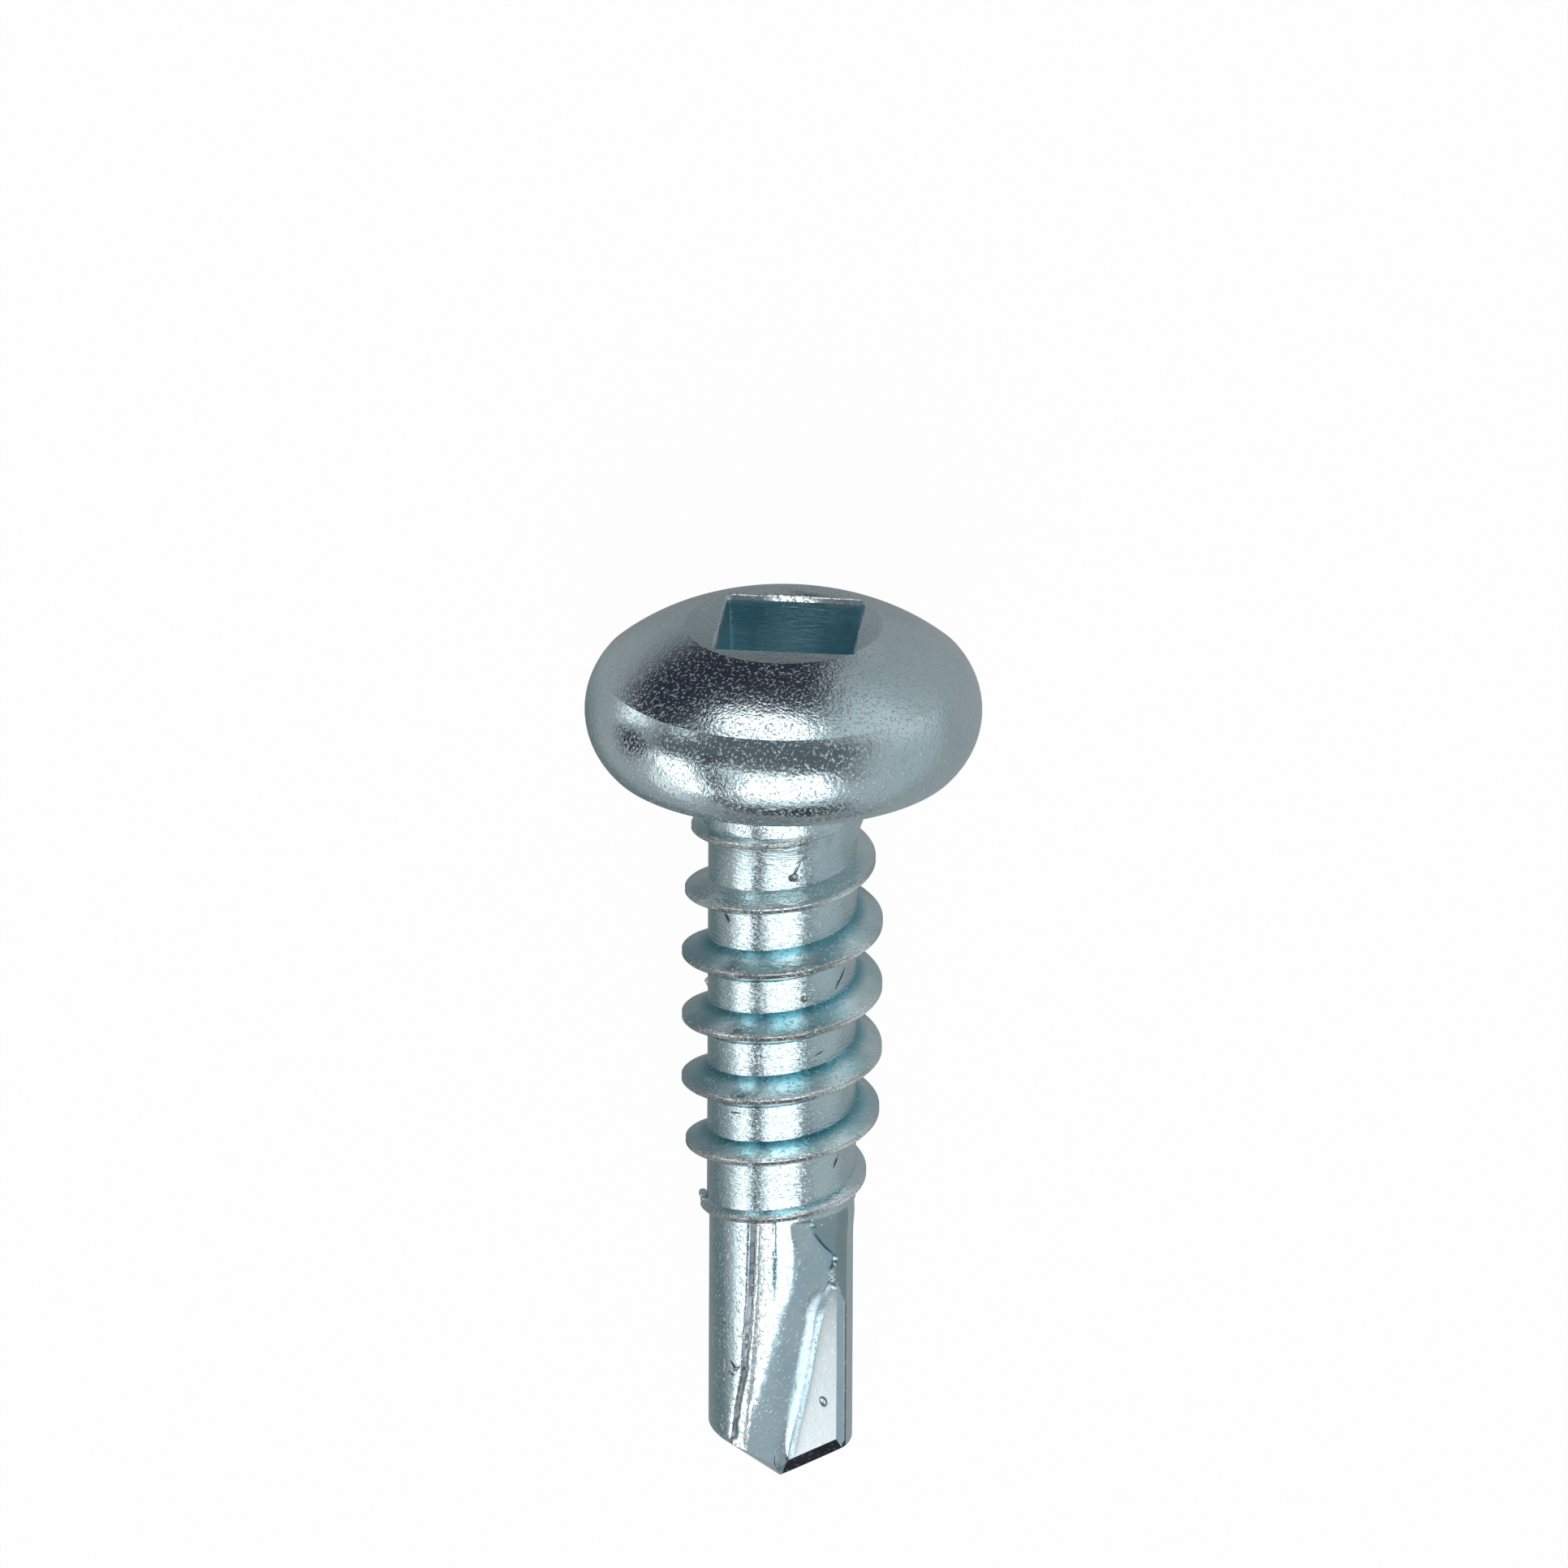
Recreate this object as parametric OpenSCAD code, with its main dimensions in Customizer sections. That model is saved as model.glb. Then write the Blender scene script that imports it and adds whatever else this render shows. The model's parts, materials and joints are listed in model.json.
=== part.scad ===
// Self drilling screw with a pan head, a square drive recess and a fluted drill point.
// It is one piece of cold headed, rolled and pinched steel wire.
// It lies on its side as it comes to rest, on the rim of its head and the two edges of one flute.

/* [Head] */
// Largest diameter of the head
head_d = 8.06; // [7.6:0.02:8.6]
// Height of the head over its bearing face
head_h = 2.89; // [2.8:0.01:3.3]
// Diameter of the small flat land on top of the head
land_d = 4; // [3.9:0.02:4.6]
// Diameter of the faint edge between the dome and the side of the head
crease_d = 7.44; // [6.9:0.02:7.5]
// Height of that edge over the bearing face
crease_h = 1.94; // [1.7:0.01:2.1]
// How far the dome stands out from a straight cone
dome_rise = 0.11; // [0.04:0.01:0.2]
// Outer diameter of the flat bearing face
seat_d = 7.24; // [6.8:0.02:7.4]
// Inner diameter of the flat bearing face, where the neck fillet starts
seat_inner_d = 4.4; // [4.3:0.05:4.9]

/* [Drive recess] */
// Width across the flats of the square recess at its mouth
recess_w = 2.78; // [2.5:0.01:2.8]
// Width across the flats at the foot of the walls
recess_foot_w = 2.64; // [2.3:0.01:2.7]
// Depth of the walls below the land
recess_depth = 1.8; // [1.5:0.05:2]
// Depth of the blunt pyramid below the walls
recess_cone_depth = 0.35; // [0.1:0.05:0.4]
// Width of the worn edge round the mouth
recess_lip = 0.04; // [0.01:0.01:0.06]
// How far the square was punched off the screw axis
recess_shift = 0.12; // [0:0.01:0.15]
// Turn of the square about the screw axis, in degrees
recess_turn = -5.5; // [-40:0.5:40]

/* [Neck and thread] */
// Diameter of the neck under the head
neck_d = 3.44; // [3.2:0.02:3.6]
// Length of the straight neck under the bearing face
neck_length = 1.1; // [0.8:0.05:1.3]
// Length of the cone from the neck to the core
neck_cone_length = 0.6; // [0.3:0.05:0.8]
// Diameter of the core between the threads
core_d = 3.03; // [2.95:0.01:3.15]
// Diameter over the thread crests
thread_d = 4.08; // [3.9:0.01:4.25]
// Distance from one turn to the next
pitch = 1.39; // [1.3:0.01:1.45]
// Width of the flat on the crest
crest_w = 0.1; // [0.06:0.01:0.16]
// Angle of each flank from the plane across the axis, in degrees
flank_angle = 26.5; // [22:0.5:30]
// Distance from the bearing face to the start of the thread
thread_start = 0.9; // [0.8:0.01:1]
// Length of the thread along the axis
thread_length = 9.4; // [7.5:0.05:9.4]
// Direction in which the thread starts, in degrees about the axis
thread_turn = -12; // [-180:1:180]

/* [Drill point] */
// Length from the bearing face to the tip
length = 16; // [15.8:0.05:19]
// Length of the drill from its shoulder to the tip
drill_length = 6.3; // [5.8:0.05:6.4]
// Diameter over the two lands of the drill
drill_d = 2.93; // [2.8:0.01:2.94]
// Half of the angle at the tip, in degrees
point_half_angle = 52.8; // [48:0.1:58]
// Lean of the point towards the leading wing, in degrees
point_lean = 4.5; // [0:0.5:6]
// Direction of the leading wing about the axis, in degrees
wing_turn = -25; // [-90:1:90]
// Radius of the hollow of each flute
flute_r = 1.9; // [1.6:0.05:2.4]
// Direction of the flute, from the wing that it cuts, in degrees
flute_turn = 49; // [45:1:52]
// Distance from the axis to the floor of the flute at the shoulder
flute_floor = 1.26; // [1.2:0.01:1.3]
// Angle at which the flute deepens towards the tip, in degrees
flute_lean = 8; // [6.5:0.5:9]
// Direction in which it deepens, off the straight way to the axis, in degrees
flute_lean_turn = 16; // [5:1:20]
// Distance from the axis to the plane of the cutting face
face_offset = 0.3; // [0.25:0.01:0.35]
// Distance from the axis to the cutting edge
edge_offset = 0.1; // [0.08:0.01:0.15]
// Width of the bevel along the cutting edge
edge_bevel_w = 0.26; // [0.15:0.01:0.35]
// Distance from the axis to the flat along the outer corner of the cutting face
margin_offset = 1.42; // [1.41:0.005:1.45]
// Direction of that flat from the wing, in degrees
margin_turn = 13.5; // [8:0.5:18]
// Length of that flat from the tip
margin_length = 4.35; // [3:0.05:4.5]

/* [Hidden] */
$fn = 96;
// Number of straight pieces in one turn of the thread, and in each arc of the head
turn_steps = 36;
arc_steps = 10;
// How far a cut runs past the surface it opens, and how deep the thread is rooted in the core
overrun = drill_d;
root_bite = crest_w * 1.5;
// Width of the blunt tip of the pyramid in the recess, as a share of its foot
cone_tip_share = 0.1;
// Height of the thread, as shares of the full height, by the turns from its first and its last end
start_shares = [[0, 0.1], [0.5, 0.65], [1, 0.71], [1.5, 0.92], [1.95, 1]];
end_shares = [[0, -0.25], [0.3, 0.25], [0.85, 0.42], [1.2, 0.83], [1.65, 0.85], [2.2, 1]];

head_r = head_d / 2;
land_r = land_d / 2;
crease_r = crease_d / 2;
seat_r = seat_d / 2;
seat_inner_r = seat_inner_d / 2;
neck_r = neck_d / 2;
core_r = core_d / 2;
drill_r = drill_d / 2;
shoulder_at = length - drill_length;
neck_end = neck_length + neck_cone_length;
thread_h = (thread_d - core_d) / 2;
thread_turns = thread_length / pitch;

// Centre and radius of the arc over the chord from p to q that rises to the left of it
function arc_radius(p, q, rise) = (norm(q - p) ^ 2 / 4 + rise ^ 2) / (2 * rise);
function arc_centre(p, q, rise) =
    (p + q) / 2 + (arc_radius(p, q, rise) - rise) / norm(q - p) * [q.y - p.y, p.x - q.x];
function arc_points(p, q, rise) =
    let (c = arc_centre(p, q, rise), r = arc_radius(p, q, rise))
    let (from = atan2(p.y - c.y, p.x - c.x), to = atan2(q.y - c.y, q.x - c.x))
    [for (i = [0:arc_steps]) let (a = from + (to - from) * i / arc_steps) c + r * [cos(a), sin(a)]];

land_edge = [land_r, head_h];
crease = [crease_r, crease_h];
seat_edge = [seat_r, 0];
side_rise = head_r - (crease_r + seat_r) / 2;
fillet_r = seat_inner_r - neck_r;

// Where a flute cuts the lands at the tip end, by the angle from its wing, and how far they reach
function point_at(turn) = length - drill_r * tan(90 - point_half_angle - point_lean * cos(turn));
flute_end = (flute_floor + flute_r) * [cos(flute_turn), sin(flute_turn)]
    - (point_at(90) - shoulder_at) * tan(flute_lean)
    * [cos(flute_turn + flute_lean_turn), sin(flute_turn + flute_lean_turn)];
leading_turn = asin(face_offset / drill_r);
trailing_turn = atan2(flute_end.y, flute_end.x)
    + acos((norm(flute_end) ^ 2 + drill_r ^ 2 - flute_r ^ 2) / (2 * norm(flute_end) * drill_r));
opening = trailing_turn - leading_turn;

// The screw rests on the arc of its head side and on the two edges of the flute below it
side_centre = arc_centre(crease, seat_edge, side_rise);
side_arc_r = arc_radius(crease, seat_edge, side_rise);
leading_at = point_at(180 + leading_turn);
trailing_at = point_at(180 + trailing_turn);
drop = side_centre.x - drill_r * cos(opening / 2);
reach = side_centre.y + (leading_at + trailing_at) / 2;
rest_tilt = atan2(drop, reach) + asin(side_arc_r / norm([drop, reach]));
rest_lag = asin((leading_at - trailing_at) * tan(rest_tilt) / (2 * drill_r * sin(opening / 2)));
rest_roll = leading_turn + opening / 2 + rest_lag - wing_turn - 90;
rest_height = side_centre.x * cos(rest_tilt) - side_centre.y * sin(rest_tilt) + side_arc_r;
// Half of its length along the surface lies on each side of the origin
rest_middle = (head_h * cos(rest_tilt) + land_r * sin(rest_tilt) - length * cos(rest_tilt)) / 2;

// Head, neck and core, turned about the screw axis with the bearing face at zero
module blank() {
    fillet = [for (i = [0:arc_steps]) let (a = 90 + 90 * i / arc_steps)
        [seat_inner_r, -fillet_r] + fillet_r * [cos(a), sin(a)]];
    rotate_extrude()
        polygon(concat(
            [[0, head_h]],
            arc_points(land_edge, crease, dome_rise),
            [for (i = [1:arc_steps]) arc_points(crease, seat_edge, side_rise)[i]],
            fillet,
            [[neck_r, -neck_length], [core_r, -neck_end], [core_r, -shoulder_at], [0, -shoulder_at]]));
}

// A square shaft that tapers from one width at its top to another at its foot
module square_taper(top_w, foot_w, depth) {
    translate([0, 0, -depth])
        linear_extrude(height = depth, scale = top_w / foot_w)
            square(foot_w, center = true);
}

// Square socket with a worn edge round its mouth and a blunt pyramid below its walls
module recess() {
    lip_w = recess_w + 2 * recess_lip;
    taper = (recess_w - recess_foot_w) / recess_depth;
    translate([recess_shift, 0, head_h]) rotate([0, 0, recess_turn]) {
        translate([0, 0, overrun])
            square_taper(recess_w + taper * overrun, recess_foot_w, recess_depth + overrun);
        translate([0, 0, overrun])
            square_taper(lip_w + 2 * overrun, recess_w, recess_lip + overrun);
        translate([0, 0, -recess_depth])
            rotate([180, 0, 0])
                linear_extrude(height = recess_cone_depth, scale = cone_tip_share)
                    square(recess_foot_w, center = true);
    }
}

// Height of the thread at a number of turns from its start
function crest_share(turns) =
    min(lookup(turns, start_shares), lookup(thread_turns - turns, end_shares));
function thread_ring(turns) =
    let (a = thread_turn - 360 * turns, out_r = core_r + thread_h * crest_share(turns))
    let (in_r = min(core_r, out_r) - root_bite, z = -thread_start - pitch * turns)
    let (half_crest = crest_w / 2, half_root = half_crest + (out_r - in_r) * tan(flank_angle))
    [for (p = [[in_r, half_root], [out_r, half_crest], [out_r, -half_crest], [in_r, -half_root]])
        [p.x * cos(a), p.x * sin(a), z + p.y]];

// Right-handed thread as one closed ridge that is rooted in the core
module thread() {
    rings = ceil(thread_turns * turn_steps);
    points = [for (i = [0:rings]) each thread_ring(thread_turns * i / rings)];
    sides = [for (i = [0:rings - 1], k = [0:3])
        let (a = 4 * i + k, b = 4 * i + (k + 1) % 4)
        each [[a, b, b + 4], [a, b + 4, a + 4]]];
    last = 4 * rings;
    polyhedron(points, concat(sides, [[3, 2, 1, 0], [last, last + 1, last + 2, last + 3]]));
}

// Everything on the far side of a plane whose normal leans from the wing by an angle about the axis
module beyond(turn, distance, from, to) {
    rotate([0, 0, turn])
        translate([distance, -length, -to])
            cube([length, 2 * length, to - from]);
}

// One flute with its cutting face, for the wing that points along X
module flute() {
    // The hollow, which deepens towards the tip, as far as the plane of the cutting face
    intersection() {
        rotate([0, 0, -flute_turn])
            translate([flute_floor + flute_r, 0, -shoulder_at])
                rotate([0, 0, -flute_lean_turn])
                    rotate([0, flute_lean, 0])
                        cylinder(h = 2 * length, r = flute_r, center = true);
        beyond(-90, face_offset, shoulder_at, length + overrun);
    }
    // The bevel along the cutting edge, which thins the web at the tip
    translate([0, 0, -length])
        rotate([0, point_half_angle + point_lean - 90, 0])
            rotate([90, 0, 90])
                linear_extrude(height = length)
                    polygon([
                        [-edge_offset, 0], [-face_offset, edge_bevel_w], [-length, edge_bevel_w],
                        [-length, -overrun], [-edge_offset, -overrun]]);
    // The flat along the outer corner of the cutting face
    beyond(-margin_turn, margin_offset, length - margin_length, length + overrun);
}

// Drill before its flutes are pinched, with a blunt cone for a point
module drill() {
    intersection() {
        translate([0, 0, -length])
            cylinder(h = drill_length + neck_length, r = drill_r);
        translate([0, 0, -length])
            rotate([0, point_lean, 0])
                cylinder(h = 2 * drill_length, r1 = 0,
                         r2 = 2 * drill_length * tan(point_half_angle));
    }
}

// The whole screw along Z, with its bearing face at zero and its tip down
module upright() {
    difference() {
        union() {
            blank();
            thread();
            rotate([0, 0, wing_turn]) drill();
        }
        for (wing = [0, 180])
            rotate([0, 0, wing_turn + wing]) flute();
        recess();
    }
}

module screw() {
    color("lightsteelblue")
        translate([0, -rest_middle, rest_height])
            rotate([rest_tilt - 90, 0, 0])
                rotate([0, 0, rest_roll])
                    upright();
}

screw();
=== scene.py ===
"""A self drilling screw in bright zinc plating, lying on a pale floor under plain studio light.

The screw is modelled upright in millimetres, with its axis along Z, its bearing face at zero, its head up and
its front, the side that the camera sees, towards -Y. It is laid down into the frame when it is whole.
"""
import json
import random
from math import acos, asin, atan2, cos, degrees, hypot, pi, radians, sin, tan

import bpy
import numpy as np
from mathutils import Matrix, Vector, noise

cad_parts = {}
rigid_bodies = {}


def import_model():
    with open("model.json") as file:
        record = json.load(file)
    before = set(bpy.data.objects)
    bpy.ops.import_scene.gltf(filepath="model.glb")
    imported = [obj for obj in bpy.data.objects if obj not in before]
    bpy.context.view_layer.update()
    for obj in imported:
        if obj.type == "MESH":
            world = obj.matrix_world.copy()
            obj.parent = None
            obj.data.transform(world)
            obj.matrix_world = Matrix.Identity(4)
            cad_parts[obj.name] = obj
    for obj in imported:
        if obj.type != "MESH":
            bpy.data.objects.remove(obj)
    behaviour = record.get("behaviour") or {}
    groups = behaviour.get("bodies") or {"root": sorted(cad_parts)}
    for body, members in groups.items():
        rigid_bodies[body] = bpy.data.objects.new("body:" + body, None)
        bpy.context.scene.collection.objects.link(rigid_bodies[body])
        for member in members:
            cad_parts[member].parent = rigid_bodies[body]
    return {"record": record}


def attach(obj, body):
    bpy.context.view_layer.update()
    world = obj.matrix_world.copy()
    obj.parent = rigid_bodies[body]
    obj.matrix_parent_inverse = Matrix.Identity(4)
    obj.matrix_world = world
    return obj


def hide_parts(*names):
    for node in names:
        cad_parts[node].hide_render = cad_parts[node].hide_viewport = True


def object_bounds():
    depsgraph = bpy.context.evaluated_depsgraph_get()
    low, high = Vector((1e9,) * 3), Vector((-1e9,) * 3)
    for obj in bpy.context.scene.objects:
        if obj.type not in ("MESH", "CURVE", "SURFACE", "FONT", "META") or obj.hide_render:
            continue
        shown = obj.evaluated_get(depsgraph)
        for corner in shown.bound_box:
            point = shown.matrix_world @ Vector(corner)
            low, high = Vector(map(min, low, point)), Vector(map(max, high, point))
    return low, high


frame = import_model()
cad_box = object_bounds()
MM = 0.001
# Farther than any part of the screw
FAR = 9.0

# Head
HEAD_R = 4.03
HEAD_H = 2.89
LAND_R = 2.0
CREASE_R = 3.72
CREASE_H = 1.94
DOME_RISE = 0.11
SEAT_R = 3.62
SEAT_INNER_R = 2.2
HEAD_SEGMENTS = 192
HEAD_ARC_STEPS = 14

# Square recess in the head
RECESS_W = 2.78
RECESS_FOOT_W = 2.64
RECESS_DEPTH = 1.8
RECESS_CONE_DEPTH = 0.35
RECESS_TIP_SHARE = 0.1
RECESS_LIP = 0.03
REAR_LIP = 0.1
SIDE_LIP = 0.045
RECESS_CORNER_R = 0.1
RECESS_SHIFT = 0.12
RECESS_TURN = radians(-5.5)

# Neck and thread
NECK_R = 1.72
NECK_LENGTH = 1.1
NECK_CONE_LENGTH = 0.6
CORE_R = 1.515
THREAD_R = 2.04
PITCH = 1.39
CREST_W = 0.13
CREST_GROOVE = 0.03
FLANK_ANGLE = radians(26.5)
THREAD_START = 0.9
THREAD_LENGTH = 9.4
THREAD_TURN = radians(-12)
THREAD_STEPS = 96
START_SHARES = [(0, 0.2), (0.1, 0.37), (0.22, 0.52), (0.47, 0.667), (0.72, 0.7), (1, 0.71), (1.5, 0.92), (1.95, 1)]
END_SHARES = [(0, -0.25), (0.3, 0.25), (0.85, 0.42), (1.2, 0.83), (1.65, 0.85), (2.2, 1)]

# Drill point
LENGTH = 16.0
DRILL_LENGTH = 6.3
DRILL_R = 1.465
POINT_HALF_ANGLE = radians(52.8)
POINT_LEAN = radians(4.5)
WING_TURN = radians(-25)
FACE_OFFSET = 0.3
EDGE_OFFSET = 0.1
EDGE_BEVEL_W = 0.26
MARGIN_OFFSET = 1.42
MARGIN_TURN = radians(13.5)
MARGIN_LENGTH = 4.35
SHOULDER_AT = LENGTH - DRILL_LENGTH

# How the screw lies, from the seat of its head in the frame
REST_ROLL = radians(-12.933)
seat = next(m for m in frame["record"]["mounts"] if m["name"] == "head_seat")
axis_up = -Vector(seat["axis"])
REST_TILT = atan2(axis_up.z, axis_up.y)
seat_place = Vector((0, seat["pos_m"][1], seat["pos_m"][2]))
lay_down = (
    Matrix.Translation(seat_place)
    @ Matrix.Rotation(REST_TILT - pi / 2, 4, "X")
    @ Matrix.Rotation(REST_ROLL, 4, "Z")
)

# Finishes. Patterns are placed in the screw's own frame, in millimetres
to_screw = (lay_down @ Matrix.Scale(MM, 4)).inverted()
PEBBLED_TO = 1.0
DRILL_FINISHES = {
    "margin": "margin",
    "face": "face",
    "strip": "strip",
    "heel": "hollow",
    "seam": "seam",
    "land": "land",
}


# Each finish: its pale and deep colours, its roughness, how high its skin and its rolling marks stand in
# millionths of a metre, how fine the skin is, how far painted glints show, and how much of it has pits
FINISHES = {
    "head": ((0.7, 0.8, 0.82), (0.64, 0.76, 0.79), 0.16, 17.0, 0.0, 17.0, 0.5, 0.3),
    "rim": ((0.92, 0.95, 0.96), (0.8, 0.86, 0.88), 0.3, 24.0, 0.0, 14.0, 0.6, 0.3),
    "recess": ((0.68, 0.85, 0.89), (0.42, 0.7, 0.78), 0.3, 3.0, 10.0, 6.0, 0.1, 0.0),
    "shank": ((0.7, 0.81, 0.83), (0.62, 0.75, 0.78), 0.12, 7.0, 20.0, 18.0, 0.5, 0.4),
    "thread": ((0.74, 0.86, 0.88), (0.48, 0.69, 0.74), 0.22, 8.0, 5.0, 12.0, 0.3, 0.2),
    "crest": ((0.88, 0.9, 0.9), (0.6, 0.6, 0.58), 0.2, 34.0, 0.0, 16.0, 0.8, 1.0),
    "face": ((0.9, 0.97, 0.98), (0.88, 0.96, 0.98), 0.25, 0.6, 0.0, 9.0, 0.0, 0.0),
    "margin": ((0.68, 0.88, 0.98), (0.58, 0.8, 0.92), 0.25, 4.0, 0.0, 12.0, 0.3, 0.1),
    "patch": ((0.42, 0.54, 0.56), (0.38, 0.5, 0.52), 0.2, 3.0, 0.0, 9.0, 0.1, 0.0),
    "strip": ((0.62, 0.78, 0.84), (0.45, 0.68, 0.78), 0.25, 8.0, 0.0, 14.0, 0.4, 0.0),
    "nick": ((0.42, 0.46, 0.48), (0.26, 0.28, 0.3), 0.3, 14.0, 0.0, 14.0, 0.3, 0.0),
    # Painted shade: near-black colours for the bevel and cone of the point
    "lip": ((0.08, 0.09, 0.11), (0.055, 0.065, 0.08), 0.3, 12.0, 0.0, 12.0, 0.15, 0.0),
    "hollow": ((0.66, 0.77, 0.81), (0.56, 0.7, 0.77), 0.22, 6.0, 0.0, 14.0, 0.5, 0.2),
    # Painted shade: dark colours for the seam's outer groove and the margin's back edge
    "groove": ((0.3, 0.34, 0.36), (0.14, 0.16, 0.18), 0.3, 12.0, 0.0, 14.0, 0.5, 0.0),
    "seam": ((0.8, 0.86, 0.87), (0.66, 0.74, 0.76), 0.26, 14.0, 0.0, 14.0, 0.6, 1.0),
    "land": ((0.72, 0.84, 0.87), (0.64, 0.78, 0.82), 0.2, 12.0, 0.0, 15.0, 0.6, 0.8),
}
# Painted shade in the thread roots, in the plating's teal
ROOT_PAINTED_SHADE = (0.16, 0.42, 0.5)
# Painted glint: the near-white colour laid on the skin's highest bumps
PAINTED_GLINT_TINT = (0.92, 0.95, 0.96)
PIT_TINT = (0.2, 0.2, 0.22)
PIT_DEPTH = 8.0
SKIN_TWIST = 0.3


class Tree:
    """A node tree that is written one node at a time."""

    def __init__(self, tree):
        self.tree = tree

    def node(self, kind, values=None, **settings):
        """Adds a node. A value is a constant or the socket that feeds it, by the input's name or number."""
        made = self.tree.nodes.new("ShaderNode" + kind)
        for key, value in settings.items():
            setattr(made, key, value)
        for key, value in (values or {}).items():
            if isinstance(value, bpy.types.NodeSocket):
                self.tree.links.new(value, made.inputs[key])
            else:
                made.inputs[key].default_value = value
        return made

    def math(self, operation, *values):
        return self.node("Math", dict(enumerate(values)), operation=operation).outputs[0]

    def noise(self, place, scale, detail, roughness=0.5, twist=0.0):
        values = {"Vector": place, "Scale": scale, "Detail": detail, "Roughness": roughness}
        values["Distortion"] = twist
        return self.node("TexNoise", values).outputs["Fac"]

    def ramp(self, value, low, high):
        """0 below the low value, 1 above the high one, smooth between them."""
        values = {"Value": value, "From Min": low, "From Max": high}
        return self.node("MapRange", values, interpolation_type="SMOOTHSTEP").outputs["Result"]

    def mix(self, share, a, b):
        """A colour between two others."""
        made = self.node("Mix", data_type="RGBA")
        for socket, value in zip((made.inputs[0], made.inputs[6], made.inputs[7]), (share, a, b)):
            if isinstance(value, bpy.types.NodeSocket):
                self.tree.links.new(value, socket)
            else:
                socket.default_value = value
        return made.outputs[2]


def new_effect(name, inputs, outputs):
    """An empty node group with its sockets, and its input and output nodes."""
    tree = bpy.data.node_groups.new(name, "ShaderNodeTree")
    for label, kind, start in inputs:
        socket = tree.interface.new_socket(label, in_out="INPUT", socket_type="NodeSocket" + kind)
        if start is not None:
            socket.default_value = start
    for label, kind in outputs:
        tree.interface.new_socket(label, in_out="OUTPUT", socket_type="NodeSocket" + kind)
    made = Tree(tree)
    given = tree.nodes.new("NodeGroupInput").outputs
    results = tree.nodes.new("NodeGroupOutput").inputs
    return made, given, results


def orange_peel_effect():
    """The fine pebbled skin of bright zinc, with painted glints: paler colour on its highest bumps."""
    inputs = [("Vector", "Vector", None), ("Fineness", "Float", 12.0), ("Sharpness", "Float", 0.5)]
    t, given, results = new_effect("orange_peel", inputs, [("Height", "Float"), ("Glints", "Float")])
    fine = t.noise(given["Vector"], given["Fineness"], 2.0, given["Sharpness"], SKIN_TWIST)
    coarse = t.noise(given["Vector"], t.math("MULTIPLY", given["Fineness"], 0.28), 1.0)
    glints = t.ramp(fine, 0.58, 0.7)
    height = t.math("ADD", t.math("MULTIPLY", fine, 0.4), t.math("MULTIPLY", coarse, 0.35))
    height = t.math("ADD", height, t.math("MULTIPLY", glints, 0.55))
    t.tree.links.new(height, results["Height"])
    t.tree.links.new(glints, results["Glints"])
    return t.tree


def rolling_marks_effect():
    """Fine lines left round the shank by the thread dies, broken up along their length."""
    inputs = [("Vector", "Vector", None), ("Lines per mm", "Float", 18.0), ("Length", "Float", 3.5)]
    t, given, results = new_effect("rolling_marks", inputs, [("Height", "Float"), ("Marks", "Float")])
    across = t.node(
        "CombineXYZ", {"X": given["Length"], "Y": given["Length"], "Z": given["Lines per mm"]}
    ).outputs[0]
    place = t.node("VectorMath", {0: given["Vector"], 1: across}, operation="MULTIPLY").outputs[0]
    lines = t.noise(place, 1.0, 3.0, 0.6)
    t.tree.links.new(lines, results["Height"])
    t.tree.links.new(t.ramp(lines, 0.54, 0.66), results["Marks"])
    return t.tree


def patchy_tint_effect():
    """A colour that drifts between two shades of the plating."""
    inputs = [
        ("Vector", "Vector", None),
        ("Patches per mm", "Float", 0.8),
        ("Pale", "Color", (0.7, 0.8, 0.83, 1)),
        ("Deep", "Color", (0.5, 0.65, 0.7, 1)),
    ]
    t, given, results = new_effect("patchy_tint", inputs, [("Color", "Color")])
    share = t.ramp(t.noise(given["Vector"], given["Patches per mm"], 3.0, 0.6), 0.35, 0.65)
    t.tree.links.new(t.mix(share, given["Pale"], given["Deep"]), results["Color"])
    return t.tree


def pits_effect():
    """Sparse small dark pits."""
    inputs = [("Vector", "Vector", None), ("Pits per mm", "Float", 3.0), ("Size", "Float", 0.12)]
    t, given, results = new_effect("pits", inputs, [("Pits", "Float")])
    cells = t.node("TexVoronoi", {"Vector": given["Vector"], "Scale": given["Pits per mm"]})
    near = t.math("SUBTRACT", 1.0, t.ramp(cells.outputs["Distance"], 0.02, given["Size"]))
    chosen = t.math("GREATER_THAN", t.node("SeparateColor", {0: cells.outputs["Color"]}).outputs[0], 0.8)
    t.tree.links.new(t.math("MULTIPLY", near, chosen), results["Pits"])
    return t.tree


EFFECTS = {
    "peel": orange_peel_effect(),
    "marks": rolling_marks_effect(),
    "tint": patchy_tint_effect(),
    "pits": pits_effect(),
}


def radius_mask(t, place, low, high):
    """0 inside the low radius and 1 outside the high one."""
    flat = t.node("VectorMath", {0: place, 1: (1, 1, 0)}, operation="MULTIPLY").outputs[0]
    length = t.node("VectorMath", {0: flat}, operation="LENGTH").outputs["Value"]
    return t.ramp(length, low, high)


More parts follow.
